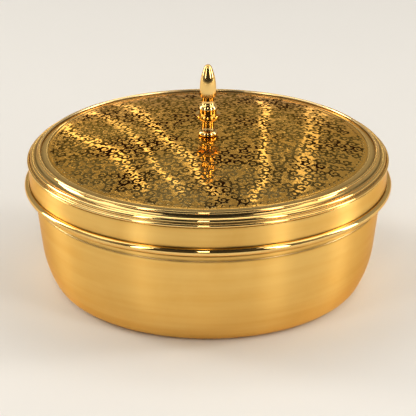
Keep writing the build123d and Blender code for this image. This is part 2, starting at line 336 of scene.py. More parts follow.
def finish_piece(bm, name, materials, body, replaced=(), sharp=35.0, outwards=True):
    """Turns a bmesh into a smooth-shaded object that rides on a body."""
    if outwards:
        bmesh.ops.recalc_face_normals(bm, faces=bm.faces)
    for face in bm.faces:
        face.smooth = True
    for edge in bm.edges:
        if len(edge.link_faces) == 2 and edge.calc_face_angle(0) > math.radians(sharp):
            edge.smooth = False
    mesh = bpy.data.meshes.new(name)
    bm.to_mesh(mesh)
    bm.free()
    for material in materials:
        mesh.materials.append(material)
    piece = bpy.data.objects.new(name, mesh)
    bpy.context.scene.collection.objects.link(piece)
    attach(piece, body)
    if replaced:
        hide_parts(*replaced)
    return piece


def face_lie(face):
    """A face's radius and height in millimetres, and how far its normal points away from the axis."""
    middle = face.calc_center_median() / MM
    outward = Vector((middle.x, middle.y, 0)).normalized()
    return math.hypot(middle.x, middle.y), middle.z, face.normal.dot(outward)


def mark_grooves(bm, grooves, reach=FILM_AND_SHADE_REACH):
    """Writes how near each vertex is to a groove, as the float attribute that places the painted groove shade
    and tarnish.
    """
    layer = bm.verts.layers.float.new("tarnish")
    for vert in bm.verts:
        place = Vector((math.hypot(vert.co.x, vert.co.y) / MM, vert.co.z / MM))
        gap = min((place - Vector(groove)).length for groove in grooves)
        vert[layer] = math.exp(-((gap / reach) ** 2))


# Node helpers


def put(tree, kind, inputs=None, **attributes):
    """A new node with its attributes and unlinked input values set."""
    node = tree.nodes.new(kind)
    for name, value in attributes.items():
        setattr(node, name, value)
    for name, value in (inputs or {}).items():
        node.inputs[name].default_value = value
    return node


def join(tree, source, output, target, entry):
    """Links one node's output to another's input."""
    tree.links.new(source.outputs[output], target.inputs[entry])


def math_node(tree, operation, first, second=None, clamp=False):
    """A Math node whose inputs are links, given as (node, output), or plain numbers."""
    node = put(tree, "ShaderNodeMath", operation=operation, use_clamp=clamp)
    for index, value in enumerate((first, second)):
        if isinstance(value, tuple):
            join(tree, value[0], value[1], node, index)
        elif value is not None:
            node.inputs[index].default_value = value
    return node


def noise_node(tree, place, output, **settings):
    """A Noise Texture at the place that a node puts out."""
    inputs = {name.title(): value for name, value in settings.items()}
    node = put(tree, "ShaderNodeTexNoise", inputs)
    join(tree, place, output, node, "Vector")
    return node


def remap(tree, source, output, limits, **attributes):
    """A Map Range node that reads another node's output."""
    node = put(tree, "ShaderNodeMapRange", limits, **attributes)
    join(tree, source, output, node, "Value")
    return node


def new_group(name, inputs, outputs):
    """A shader node group with float or vector sockets, and its two end nodes."""
    tree = bpy.data.node_groups.new(name, "ShaderNodeTree")
    for socket, kind, value in inputs:
        made = tree.interface.new_socket(socket, in_out="INPUT", socket_type=kind)
        if value is not None:
            made.default_value = value
    for socket, kind in outputs:
        tree.interface.new_socket(socket, in_out="OUTPUT", socket_type=kind)
    return tree, put(tree, "NodeGroupInput"), put(tree, "NodeGroupOutput")


def spun_lines_group():
    """Fine lines left round the axis by spinning and brushing."""
    tree, start, end = new_group(
        "Spun Lines",
        [("Vector", "NodeSocketVector", None), ("Lines", "NodeSocketFloat", 900.0),
         ("Drift", "NodeSocketFloat", 9.0)],
        [("Height", "NodeSocketFloat"), ("Streak", "NodeSocketFloat")])
    split = put(tree, "ShaderNodeSeparateXYZ")
    join(tree, start, "Vector", split, 0)
    square_x = math_node(tree, "MULTIPLY", (split, "X"), (split, "X"))
    square_y = math_node(tree, "MULTIPLY", (split, "Y"), (split, "Y"))
    radius = math_node(tree, "SQRT", (math_node(tree, "ADD", (square_x, 0), (square_y, 0)), 0))
    along = math_node(tree, "ADD", (radius, 0), (split, "Z"))
    lines = math_node(tree, "MULTIPLY", (along, 0), (start, "Lines"))
    drift_x = math_node(tree, "MULTIPLY", (split, "X"), (start, "Drift"))
    drift_y = math_node(tree, "MULTIPLY", (split, "Y"), (start, "Drift"))
    place = put(tree, "ShaderNodeCombineXYZ")
    join(tree, drift_x, 0, place, "X")
    join(tree, drift_y, 0, place, "Y")
    join(tree, lines, 0, place, "Z")
    fine = noise_node(tree, place, 0, scale=1.0, detail=3.0, roughness=0.65)
    wide_place = put(tree, "ShaderNodeVectorMath", {1: (1.0, 1.0, 0.06)}, operation="MULTIPLY")
    join(tree, place, 0, wide_place, 0)
    wide = noise_node(tree, wide_place, 0, scale=1.0, detail=2.0, roughness=0.5)
    join(tree, fine, "Fac", end, "Height")
    join(tree, wide, "Fac", end, "Streak")
    return tree


def handling_group():
    """Soft smudges and short fine scratches that handling leaves."""
    tree, start, end = new_group(
        "Handling Marks",
        [("Vector", "NodeSocketVector", None), ("Smudge Size", "NodeSocketFloat", 28.0)],
        [("Smudge", "NodeSocketFloat"), ("Scratch", "NodeSocketFloat")])
    smudge = noise_node(tree, start, "Vector", detail=4.0, roughness=0.6, distortion=0.8)
    join(tree, start, "Smudge Size", smudge, "Scale")
    spread = remap(tree, smudge, "Fac", {"From Min": 0.35, "From Max": 0.70},
                   interpolation_type="SMOOTHSTEP")
    stretched = put(tree, "ShaderNodeMapping", {"Rotation": (0.5, 0.9, 0.3), "Scale": (1.0, 9.0, 1.0)})
    join(tree, start, "Vector", stretched, "Vector")
    scratch = noise_node(tree, stretched, 0, scale=160.0, detail=2.0, roughness=0.7)
    thin = remap(tree, scratch, "Fac", {"From Min": 0.64, "From Max": 0.72})
    join(tree, spread, 0, end, "Smudge")
    join(tree, thin, 0, end, "Scratch")
    return tree


def groove_shade_and_tarnish_group():
    """Painted shade with some dark tarnish near the grooves that the mesh marks, broken up a little."""
    tree, start, end = new_group(
        "Groove Film",
        [("Vector", "NodeSocketVector", None), ("Amount", "NodeSocketFloat", 0.8)],
        [("Film", "NodeSocketFloat")])
    near = put(tree, "ShaderNodeAttribute", attribute_name="tarnish")
    patchy = noise_node(tree, start, "Vector", scale=70.0, detail=3.0, roughness=0.6)
    uneven = remap(tree, patchy, "Fac", {"From Min": 0.3, "From Max": 0.7, "To Min": 0.75, "To Max": 1.15})
    both = math_node(tree, "MULTIPLY", (near, "Fac"), (uneven, 0))
    amount = math_node(tree, "MULTIPLY", (both, 0), (start, "Amount"), clamp=True)
    join(tree, amount, 0, end, "Film")
    return tree


def curls_group():
    """Small chased curls: the level lines of a warped noise, cut as narrow lines."""
    tree, start, end = new_group(
        "Chased Curls",
        [("Vector", "NodeSocketVector", None), ("Scale", "NodeSocketFloat", 260.0),
         ("Levels", "NodeSocketFloat", 7.0), ("Width", "NodeSocketFloat", 0.16)],
        [("Cut", "NodeSocketFloat")])
    noise = noise_node(tree, start, "Vector", detail=0.6, roughness=0.5, distortion=1.3)
    join(tree, start, "Scale", noise, "Scale")
    levels = math_node(tree, "MULTIPLY", (noise, "Fac"), (start, "Levels"))
    fold = math_node(tree, "PINGPONG", (levels, 0), 0.5)
    line = remap(tree, fold, 0, {"From Min": 0.0, "To Min": 1.0, "To Max": 0.0},
                 interpolation_type="SMOOTHSTEP")
    join(tree, start, "Width", line, "From Max")
    join(tree, line, 0, end, "Cut")
    return tree


GROUPS = {
    "Spun Lines": spun_lines_group,
    "Handling Marks": handling_group,
    "Groove Film": groove_shade_and_tarnish_group,
    "Chased Curls": curls_group,
}


def place_group(tree, name, coordinates, **values):
    """Places a node group in a material, fed with the object coordinates, and builds it the first time."""
    group = bpy.data.node_groups.get(name) or GROUPS[name]()
    node = put(tree, "ShaderNodeGroup", node_tree=group)
    join(tree, coordinates, "Object", node, "Vector")
    for entry, value in values.items():
        node.inputs[entry.title()].default_value = value
    return node


def colour_mix(tree, factor, first, second):
    """A colour between two, where each is a plain colour or a link given as (node, output)."""
    node = put(tree, "ShaderNodeMix", data_type="RGBA")
    join(tree, factor[0], factor[1], node, 0)
    for index, value in ((6, first), (7, second)):
        if isinstance(value, tuple) and len(value) == 2:
            join(tree, value[0], value[1], node, index)
        else:
            node.inputs[index].default_value = (*value, 1.0)
    return node


def new_metal(name, edge_tint):
    """A new metallic material, with its node tree and its shader."""
    material = bpy.data.materials.new(name)
    material.use_nodes = True
    tree = material.node_tree
    shader = tree.nodes["Principled BSDF"]
    shader.inputs["Metallic"].default_value = 1.0
    shader.inputs["Specular Tint"].default_value = edge_tint
    return material, tree, shader


def brass(name, colour, shade, tarnish, smooth, rough, lines, line_depth, film, anisotropy):
    """A spun brass finish: streaks, fine lines, smudges, and painted shade with some tarnish in its grooves.
    """
    material, tree, shader = new_metal(name, EDGE_TINT)
    shader.inputs["Anisotropic"].default_value = anisotropy
    shader.inputs["Anisotropic Rotation"].default_value = 0.25
    coordinates = put(tree, "ShaderNodeTexCoord")
    spun_lines = place_group(tree, "Spun Lines", coordinates, lines=lines)
    marks = place_group(tree, "Handling Marks", coordinates)
    grooves = place_group(tree, "Groove Film", coordinates, amount=film)

    streak = remap(tree, spun_lines, "Streak", {"From Min": 0.35, "From Max": 0.65})
    warm = math_node(tree, "MULTIPLY", (streak, 0), 0.40)
    worn = math_node(tree, "MULTIPLY", (marks, "Smudge"), 0.20)
    tone = math_node(tree, "ADD", (warm, 0), (worn, 0), clamp=True)
    clean = colour_mix(tree, (tone, 0), colour, shade)
    # Near the marked grooves the colour turns dark: painted shade with some tarnish
    dirty_and_shaded = colour_mix(tree, (grooves, "Film"), (clean, 2), tarnish)
    join(tree, dirty_and_shaded, 2, shader, "Base Color")

    spread = math_node(tree, "MULTIPLY", (marks, "Smudge"), rough - smooth)
    base = math_node(tree, "ADD", (spread, 0), smooth)
    film_and_shade_rough = math_node(tree, "MULTIPLY", (grooves, "Film"), 0.35)
    scratched = math_node(tree, "MULTIPLY", (marks, "Scratch"), 0.06)
    sum_one = math_node(tree, "ADD", (base, 0), (film_and_shade_rough, 0))
    sum_two = math_node(tree, "ADD", (sum_one, 0), (scratched, 0))
    join(tree, sum_two, 0, shader, "Roughness")

    bump = put(tree, "ShaderNodeBump", {"Strength": 1.0, "Distance": line_depth})
    join(tree, spun_lines, "Height", bump, "Height")
    join(tree, bump, 0, shader, "Normal")
    return material


def engraved_brass(name, colour, shade, tarnish):
    """The lid's engraved field: polished ground, small dark curls and a gentle waviness."""
    material, tree, shader = new_metal(name, EDGE_TINT)
    coordinates = put(tree, "ShaderNodeTexCoord")
    large = place_group(tree, "Chased Curls", coordinates, scale=150.0, levels=3.0, width=0.10)
    small = place_group(tree, "Chased Curls", coordinates, scale=260.0, levels=3.0, width=0.10)
    marks = place_group(tree, "Handling Marks", coordinates)

    fading = noise_node(tree, coordinates, "Object", scale=42.0, detail=2.0)
    wear = remap(tree, fading, "Fac", {"From Min": 0.42, "From Max": 0.62, "To Min": 0.05, "To Max": 0.5})
    small_cut = math_node(tree, "MULTIPLY", (small, "Cut"), 0.6)
    cuts = math_node(tree, "MAXIMUM", (large, "Cut"), (small_cut, 0))
    dark = math_node(tree, "MULTIPLY", (cuts, 0), (wear, 0))

    ground = colour_mix(tree, (marks, "Smudge"), colour, shade)
    final = colour_mix(tree, (dark, 0), (ground, 2), tarnish)
    join(tree, final, 2, shader, "Base Color")
    rough = remap(tree, dark, 0, {"To Min": 0.07, "To Max": 0.35})
    join(tree, rough, 0, shader, "Roughness")

    depth = math_node(tree, "MULTIPLY", (cuts, 0), -1.0)
    cut_bump = put(tree, "ShaderNodeBump", {"Strength": 0.35, "Distance": 0.00006})
    join(tree, depth, 0, cut_bump, "Height")
    wave = noise_node(tree, coordinates, "Object", scale=18.0, detail=0.8, roughness=0.4)
    wave_bump = put(tree, "ShaderNodeBump", {"Strength": 1.0, "Distance": 0.0015})
    join(tree, wave, "Fac", wave_bump, "Height")
    join(tree, cut_bump, 0, wave_bump, "Normal")
    join(tree, wave_bump, 0, shader, "Normal")
    return material


def cut_brass(name, colour, tarnish):
    """Engraved strokes: dark along the middle and brighter at their edges."""
    material, tree, shader = new_metal(name, CUT_EDGE_TINT)
    across = put(tree, "ShaderNodeAttribute", attribute_name="cut")
    middle = remap(tree, across, "Fac", {"From Min": 0.15, "From Max": 0.5}, interpolation_type="SMOOTHSTEP")
    coordinates = put(tree, "ShaderNodeTexCoord")
    patchy = noise_node(tree, coordinates, "Object", scale=34.0, detail=3.0)
    worn = remap(tree, patchy, "Fac", {"From Min": 0.40, "From Max": 0.60, "To Min": 0.75, "To Max": 1.0})
    dark = math_node(tree, "MULTIPLY", (middle, 0), (worn, 0), clamp=True)
    final = colour_mix(tree, (dark, 0), colour, tarnish)
    join(tree, final, 2, shader, "Base Color")
    rough = remap(tree, dark, 0, {"To Min": 0.12, "To Max": 0.42})
    join(tree, rough, 0, shader, "Roughness")
    return material


def finish_named(name):
    """The box's materials, each made once when a piece first asks for it."""
    if name in bpy.data.materials:
        return bpy.data.materials[name]
    colours = bpy.context.scene.spice_box.colours
    tarnish = tuple(colours.tarnish)
    if name == "Engraved Brass":
        return engraved_brass(name, tuple(colours.bronze), tuple(colours.shade), tarnish)
    if name == "Cut Brass":
        return cut_brass(name, tuple(colours.polished), tarnish)
    colour, shade, *recipe = SPUN_FINISHES[name]
    return brass(name, tuple(getattr(colours, colour)), tuple(getattr(colours, shade)), tarnish, *recipe)


# Profiles, in millimetres from the axis and from the table


def bowl_side(inset):
    """One face of the bowl's sheet, from the base up to its wall, and the outer radius of its neck."""
    belly_x = FOOT_R + (CORNER_R - BELLY_R) * math.sin(CORNER_TURN)
    belly_y = CORNER_R + (BELLY_R - CORNER_R) * math.cos(CORNER_TURN)
    turn = math.degrees(CORNER_TURN)
    corner = arc((FOOT_R, CORNER_R), CORNER_R - inset, -90, -90 + turn, 14)
    belly = arc((belly_x, belly_y), BELLY_R - inset, -90 + turn, -math.degrees(WALL_LEAN), 10)
    wall_r = belly_x + BELLY_R * math.cos(WALL_LEAN)
    wall_z = belly_y - BELLY_R * math.sin(WALL_LEAN)
    neck_r = wall_r + (NECK_Z - wall_z) * math.tan(WALL_LEAN)
    return corner + belly[1:], neck_r


def bowl_profile():
    """The whole bowl: outside, rolled rim and inside, with points near its grooves, and its neck's radius."""
    outer, neck_r = bowl_side(0)
    inner, _ = bowl_side(SHEET)
    groove = arc((neck_r, NECK_Z), LINE_GROOVE_R, -100, -270, 6)
    clear = 3 * FILM_AND_SHADE_REACH
    below = (neck_r - clear * math.tan(WALL_LEAN), NECK_Z - clear)
    roll_mid = (neck_r - SHEET + RIM_ROLL_R, BOWL_HIGH.z - RIM_ROLL_R)
    roll = arc(roll_mid, RIM_ROLL_R, -100, 180, 16)
    neck_in = neck_r - SHEET
    above = [(neck_r, NECK_Z + clear)]
    above += [(neck_r, SHADE_LINE_Z + step) for step in (-1.0, -0.5, 0, 0.5, 1.0)]
    above += [(neck_r, roll_mid[1] - RIM_ROLL_R - clear)]
    outside = [(0, 0), *outer, below, *groove, *above, *roll]
    return [*outside, (neck_in, NECK_Z), *reversed(inner), (0, SHEET)], neck_r


def dome_height(radius, inset=0.0):
    """Height of the lid's domed plate at a radius."""
    return CROWN_Z - DOME_R + math.sqrt((DOME_R - inset) ** 2 - radius**2)


def lid_profile():
    """The whole lid: plate, ridge, beads, skirt, lower roll and inside."""
    plate_edge = RIDGE_MID[0] - RIDGE_R * 0.85
    radii = [CROWN_HOLE_R + (plate_edge - CROWN_HOLE_R) * i / PLATE_RINGS for i in range(PLATE_RINGS + 1)]
    steps = (-EDGE_LINE_CLEAR, -EDGE_LINE_HALF, EDGE_LINE_HALF, EDGE_LINE_CLEAR)
    line = [(FIELD_R + step, dome_height(FIELD_R)) for step in steps]
    line.append((FIELD_R, dome_height(FIELD_R) - EDGE_LINE_DEPTH))
    plate = [(r, dome_height(r)) for r in radii if abs(r - FIELD_R) > EDGE_LINE_CLEAR + EDGE_LINE_HALF]
    plate = sorted(plate + line)
    ridge = arc(RIDGE_MID, RIDGE_R, 205, -25, 12)
    top_bead = arc(TOP_BEAD_MID, TOP_BEAD_R, 118, -38, 12)
    low_bead = arc(LOW_BEAD_MID, LOW_BEAD_R, 140, -62, 10)
    cove = bulge(ridge[-1], top_bead[0], -COVE_SAG, 8)
    skirt_top = LOW_BEAD_MID[1] - LOW_BEAD_R - UNDERCUT_H
    under_bead = [(SKIRT_R + out, skirt_top + up) for out, up in UNDERCUT]
    skirt_low = SKIRT_ROLL_MID[1] + SKIRT_ROLL_R
    skirt = [(SKIRT_R, skirt_top - 3 * FILM_AND_SHADE_REACH), (SKIRT_R, skirt_low + 2 * FILM_AND_SHADE_REACH),
             (SKIRT_R, skirt_low + FILM_AND_SHADE_REACH)]
    roll = arc(SKIRT_ROLL_MID, SKIRT_ROLL_R, 103.8, -139.5, 18)
    skirt_in = SKIRT_R - SHEET
    inside_edge = RIDGE_MID[0] - SHEET / 2
    shoulder = [(skirt_in, SEAT_Z), (inside_edge + SHEET, SEAT_Z),
                (inside_edge, dome_height(inside_edge, SHEET))]
    under = [(r, dome_height(r, SHEET)) for r in reversed(radii) if r < inside_edge - 1]
    rim = ridge + cove[1:-1] + top_bead + low_bead + under_bead
    return plate + rim + skirt + roll + shoulder + under


def above_crown(points):
    """Points of the finial, lifted from their heights above the plate's crown."""
    return [(radius, CROWN_Z + height) for radius, height in points]


def finial_profile():
    """The turned knob with its stud, from the stud's lower end to the tip."""
    root_r = STUD_R - THREAD_DEPTH
    thread = []
    z = FINIAL_LOW.z + STUD_LEAD
    while z < WASHER_LOW.z:
        thread += [(root_r, z), (STUD_R, z + THREAD_PITCH / 2)]
        z += THREAD_PITCH
    bulb = arc((4.55, CROWN_Z + 1.3), 1.3, -60, 8, 6) + above_crown(FOOT_BULB)
    low_neck = bulge(*above_crown(LOW_NECK), 0.35, 8)
    saucer = bulge(*above_crown(SAUCER), -0.95, 10)
    well = bulge(*above_crown(SAUCER_WELL), -0.15, 4)
    shoulder = bulge(*above_crown(SHOULDER), -0.3, 7)
    high_neck = bulge(*above_crown(HIGH_NECK), 0.3, 7)
    drop = BULLET_R - TIP_R
    ogive_r = (drop**2 + BULLET_RISE**2) / (2 * drop)
    ogive_end = math.degrees(math.asin(BULLET_RISE / ogive_r))
    ogive = arc((BULLET_R - ogive_r, CROWN_Z + BULLET_Z), ogive_r, 0, ogive_end, 18)
    tip_r = (TIP_R**2 + TIP_H**2) / (2 * TIP_H)
    tip = arc((0, FINIAL_HIGH.z - tip_r), tip_r, math.degrees(math.asin(1 - TIP_H / tip_r)), 90, 9)
    stud = [(0, FINIAL_LOW.z), (root_r, FINIAL_LOW.z), *thread, (STUD_R, CROWN_Z)]
    knob = [*bulb, *low_neck, *saucer[1:], *above_crown(SAUCER_LIP), *well, *above_crown(DRUM), *shoulder,
            *high_neck, *above_crown(BULLET_EDGE), *ogive[1:], *tip[1:-1]]
    return [*stud, *knob, (0, FINIAL_HIGH.z)]


def cup_profile(floor):
    """One cup, standing on the bowl's floor."""
    wall_r = CUP_RIM_R - CUP_LIP_OUT
    inner_r = wall_r - CUP_SHEET
    top = floor + CUP_H
    under = top - CUP_LIP_T
    corner_end = 90 - math.degrees(CUP_LEAN)
    middle = (CUP_FOOT_R, floor + CUP_CORNER_R)
    outer = arc(middle, CUP_CORNER_R, -90, -90 + corner_end, 12)
    inner = arc(middle, CUP_CORNER_R - CUP_SHEET, -90, -90 + corner_end, 12)
    soft = CUP_LIP_SOFT
    lip = [(wall_r - CUP_LIP_ROOT, under - CUP_LIP_FLARE), (CUP_RIM_R - soft, under),
           (CUP_RIM_R, under + soft), (CUP_RIM_R, top - soft), (CUP_RIM_R - soft, top),
           (inner_r + soft, top), (inner_r, top - soft)]
    return [(0, floor), *outer, *lip, *reversed(inner), (0, floor + CUP_SHEET)]


# Engraving


def stroke(bm, path, width, steps, layer):
    """A tapered stroke along a path from 0 to 1: a dark groove between two burred edges."""
    columns = len(STROKE_HEIGHTS) - 1
    made = bmesh.ops.create_grid(bm, x_segments=steps, y_segments=columns, size=1.0)
    for vert in made["verts"]:
        t = (vert.co.x + 1) / 2
        side = vert.co.y
        column = round((side + 1) / 2 * columns)
        here = path(t)
        ahead = path(min(t + 0.01, 1.0)) - path(max(t - 0.01, 0.0))
        across = Vector((-ahead.y, ahead.x)).normalized()
        half = width / 2 * (0.25 + 0.75 * math.sin(math.pi * min(max(t, 0.03), 0.97)) ** 0.6)
        vert.co = (*(here + across * half * side), STROKE_HEIGHTS[column])
        vert[layer] = STROKE_DARKNESS[column]


def scroll_mesh(name, rng, width):
    """One scroll of unit radius: a spiral stem with leaves along its outside and a bud in its eye."""
    bm = bmesh.new()
    layer = bm.verts.layers.float.new("cut")
    turns = rng.uniform(1.15, 1.45)
    eye = rng.uniform(0.12, 0.2)

    def stem(t):
        radius = eye + (0.86 - eye) * (1 - t) ** 0.85
        angle = turns * FULL_TURN * t
        return Vector((math.cos(angle), math.sin(angle))) * radius

    stroke(bm, stem, width, 14, layer)
    leaves = rng.randint(4, 6)
    for index in range(leaves):
        root = 0.02 + 0.62 * index / leaves
        foot = stem(root)
        away = foot.normalized()
        onward = (stem(root + 0.02) - foot).normalized()
        length = rng.uniform(0.34, 0.5)
        curl = rng.uniform(0.25, 0.6)

        def leaf(t, foot=foot, away=away, onward=onward, length=length, curl=curl):
            return foot + away * (length * t) + onward * (length * curl * t * (1.6 - t) * 1.4)

        stroke(bm, leaf, width * 1.15, 4, layer)

    def bud(t):
        return stem(1.0) + Vector((math.cos(4 * t), math.sin(4 * t))) * 0.09

    stroke(bm, bud, width * 0.9, 3, layer)
    mesh = bpy.data.meshes.new(name)
    bm.to_mesh(mesh)
    bm.free()
    return mesh


def lay_on_dome(verts, place, turn, scale, hand, burr):
    """Moves a flat unit pattern to its place on the plate, with its edges just under the surface."""
    spin = Matrix.Rotation(turn, 2)
    for vert in verts:
        flat = spin @ Vector((vert.co.x * scale * hand, vert.co.y * scale))
        x, y = place[0] + flat.x, place[1] + flat.y
        height = dome_height(math.hypot(x, y) / MM) * MM
        vert.co = (x, y, height + burr * vert.co.z)


def engraving_mesh(settings):
    """Every scroll of the engraved field, laid out from the middle in a golden spiral."""
    rng = random.Random(settings.seed)
    unit = settings.spacing / 2
    variants = [scroll_mesh(f"scroll_{i}", rng, settings.stroke / unit) for i in range(SCROLL_KINDS)]
    bm = bmesh.new()
    bm.verts.layers.float.new("cut")
    golden = math.pi * (3 - math.sqrt(5))
    growth = settings.spacing * 0.53
    inner, outer = FIELD_HOLE_R * MM, (FIELD_R - FIELD_MARGIN) * MM
    jitter = settings.spacing * 0.08

    def add(mesh, place, turn, scale, hand):
        before = len(bm.verts)
        bm.from_mesh(mesh)
        bm.verts.ensure_lookup_table()
        lay_on_dome(bm.verts[before:], place, turn, scale, hand, settings.burr)

    index = 0
    while growth * math.sqrt(index + 0.5) < outer:
        radius = growth * math.sqrt(index + 0.5)
        angle = index * golden
        index += 1
        if radius < inner:
            continue
        place = (radius * math.cos(angle) + rng.uniform(-jitter, jitter),
                 radius * math.sin(angle) + rng.uniform(-jitter, jitter))
        size = unit * rng.uniform(0.92, 1.1)
        add(rng.choice(variants), place, rng.uniform(0, FULL_TURN), size, rng.choice((-1, 1)))

    for mesh in variants:
        bpy.data.meshes.remove(mesh)
    return bm


def border_mesh(settings):
    """The ring of small leaves just inside the field's edge line."""
    bm = bmesh.new()
    layer = bm.verts.layers.float.new("cut")
    middle_r = (FIELD_R - BORDER_MARGIN) * MM

    def leaf(t):
        return Vector((t * 1.5 - 0.75, 0.55 * math.sin(math.pi * t)))

    for index in range(BORDER_COUNT):
        before = len(bm.verts)
        stroke(bm, leaf, 0.5, 6, layer)
        angle = FULL_TURN * index / BORDER_COUNT
        place = (middle_r * math.cos(angle), middle_r * math.sin(angle))
        bm.verts.ensure_lookup_table()
        turn = angle + math.pi / 2 + BORDER_LEAN
        lay_on_dome(bm.verts[before:], place, turn, BORDER_LEAF * MM, 1, settings.burr)
    return bm


# Operators


def split_inside(bm):
    """Gives the inner faces, whose normals look at the axis or up from the floor, the inside finish."""
    bmesh.ops.recalc_face_normals(bm, faces=bm.faces)
    for face in bm.faces:
        _, height, outward = face_lie(face)
        inside = outward < -0.05 or (face.normal.z > 0.3 and height < INSIDE_TOP_Z)
        face.material_index = 1 if inside else 0


class SPICEBOX_OT_bowl(bpy.types.Operator):
    """Spin the bowl with its belly, neck and rolled rim"""

    bl_idname = "spice_box.bowl"
    bl_label = "Make Bowl"

    def execute(self, context):
        profile, neck_r = bowl_profile()
        bm = spun(profile, BOWL_STEPS)
        crease = (neck_r + RIM_CREASE_OUT, BOWL_HIGH.z - RIM_CREASE_DROP)
        # The film paints shade, with some tarnish, into the neck's groove, as a shadow line under the lid's
        # roll, and into the rim's crease
        mark_grooves(bm, [(neck_r, NECK_Z), (neck_r, SHADE_LINE_Z), crease])
        split_inside(bm)
        finish_piece(bm, "bowl_body", [finish_named("Satin Brass"), finish_named("Inside Brass")],
                     "bowl", ["bowl"])
        return {"FINISHED"}


class SPICEBOX_OT_lid(bpy.types.Operator):
    """Spin the lid with its ridge, beads, skirt and lower roll"""

    bl_idname = "spice_box.lid"
    bl_label = "Make Lid"

    def execute(self, context):
        bm = spun(lid_profile(), LID_STEPS)
        skirt_top = LOW_BEAD_MID[1] - LOW_BEAD_R
        roll_top = SKIRT_ROLL_MID[1] + SKIRT_ROLL_R
        # The film paints shade, with some tarnish, into the cove, the creases under the small bead and the
        # corner above the roll; at the field's edge line it darkens the engraved cut
        mark_grooves(bm, [
            (SKIRT_R - 0.3, skirt_top), BEAD_CREASE, (SKIRT_R, roll_top), COVE_FLOOR,
            (RIDGE_MID[0] - RIDGE_CREASE_IN, PLATE_Z + 0.1),
            (FIELD_R, dome_height(FIELD_R) - EDGE_LINE_DEPTH)])
        bmesh.ops.recalc_face_normals(bm, faces=bm.faces)
        finishes = [finish_named(f"{kind} Brass") for kind in ("Polished", "Engraved", "Satin", "Inside")]
        polished, engraved, satin, inside = range(len(finishes))
        for face in bm.faces:
            radius, height, outward = face_lie(face)
            under = face.normal.z < -0.2 or outward < -0.5
            if radius < FIELD_R and face.normal.z > 0.5:
                face.material_index = engraved
            elif roll_top - 0.1 < height < skirt_top and outward > 0.9:
                face.material_index = satin
            elif under and radius < SKIRT_R - SHEET + 0.05:
                face.material_index = inside
            else:
                face.material_index = polished
        finish_piece(bm, "lid_shell", finishes, "lid", ["lid"])
        return {"FINISHED"}


class SPICEBOX_OT_engraving(bpy.types.Operator):
    """Cut the scrolls and leaves that cover the lid's plate"""

    bl_idname = "spice_box.engraving"
    bl_label = "Engrave Lid"

    def execute(self, context):
        settings = context.scene.spice_box.engraving
        meshes = {"lid_engraving": engraving_mesh(settings), "lid_border": border_mesh(settings)}
        for name, bm in meshes.items():
            for face in bm.faces:
                face.normal_update()
                if face.normal.z < 0:
                    face.normal_flip()
            finish_piece(bm, name, [finish_named("Cut Brass")], "lid",
                         sharp=80.0, outwards=False)
        return {"FINISHED"}


class SPICEBOX_OT_finial(bpy.types.Operator):
    """Turn the finial and fit its washer and nut under the lid"""

    bl_idname = "spice_box.finial"
    bl_label = "Make Finial"

    def execute(self, context):
        bm = spun(finial_profile(), FINIAL_STEPS)
        # The film paints shade, with some tarnish, into the finial's creases
        mark_grooves(bm, above_crown(FINIAL_CREASES), FINIAL_FILM_AND_SHADE_REACH)
        finish_piece(bm, "finial_knob", [finish_named("Polished Brass")], "lid", ["finial"])

        soft = SMALL_SOFT_EDGE
        low, high, edge = WASHER_LOW.z, WASHER_HIGH.z, WASHER_HIGH.x
        ring = [(CROWN_HOLE_R, low), (edge - soft, low), (edge, low + soft),
                (edge, high - soft), (edge - soft, high), (CROWN_HOLE_R, high)]
        plain = [finish_named("Plain Brass")]
        finish_piece(spun(ring, SMALL_STEPS), "washer_disc", plain, "lid", ["finial_washer"])
        finish_piece(hex_nut(), "nut_hex", plain, "lid", ["finial_nut"])
        return {"FINISHED"}


def hex_nut():
    """A hexagon nut with a round bore and chamfered corners."""
    low, high = NUT_LOW.z * MM, NUT_HIGH.z * MM
    corner_r = NUT_HIGH.x * MM
    bore = CROWN_HOLE_R * MM
    bm = bmesh.new()
    outer = bmesh.ops.create_circle(bm, segments=6, radius=corner_r)["verts"]
    outer_edges = list({edge for vert in outer for edge in vert.link_edges})
    bmesh.ops.subdivide_edges(bm, edges=outer_edges, cuts=3)
    inner = bmesh.ops.create_circle(bm, segments=24, radius=bore)["verts"]
    inner_edges = {edge for vert in inner for edge in vert.link_edges}
    rest = [edge for edge in bm.edges if edge not in inner_edges]
    bmesh.ops.bridge_loops(bm, edges=[*inner_edges, *rest])
    bmesh.ops.translate(bm, verts=bm.verts, vec=(0, 0, low))
    made = bmesh.ops.extrude_face_region(bm, geom=bm.faces[:])
    risen = [item for item in made["geom"] if isinstance(item, bmesh.types.BMVert)]
    bmesh.ops.translate(bm, verts=risen, vec=(0, 0, high - low))
    flat_r = corner_r * math.cos(math.pi / 6)
    for vert in bm.verts:
        radius = math.hypot(vert.co.x, vert.co.y)
        if radius > flat_r * 1.01:
            drop = (radius - flat_r) * NUT_CHAMFER
            vert.co.z += drop if vert.co.z < (low + high) / 2 else -drop
    return bm


class SPICEBOX_OT_cups(bpy.types.Operator):
    """Spin the seven spice cups"""

    bl_idname = "spice_box.cups"
    bl_label = "Make Cups"

    def execute(self, context):
        names = ["cup_centre", *(f"cup_{i + 1}" for i in range(RING_COUNT))]
        for name in names:
            low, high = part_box(name)
            middle = (low + high) / 2 / MM
            bm = spun(cup_profile(low.z / MM), CUP_STEPS, (middle.x, middle.y))
            finish_piece(bm, f"{name}_shell", [finish_named("Cup Brass")], name, [name])
        return {"FINISHED"}


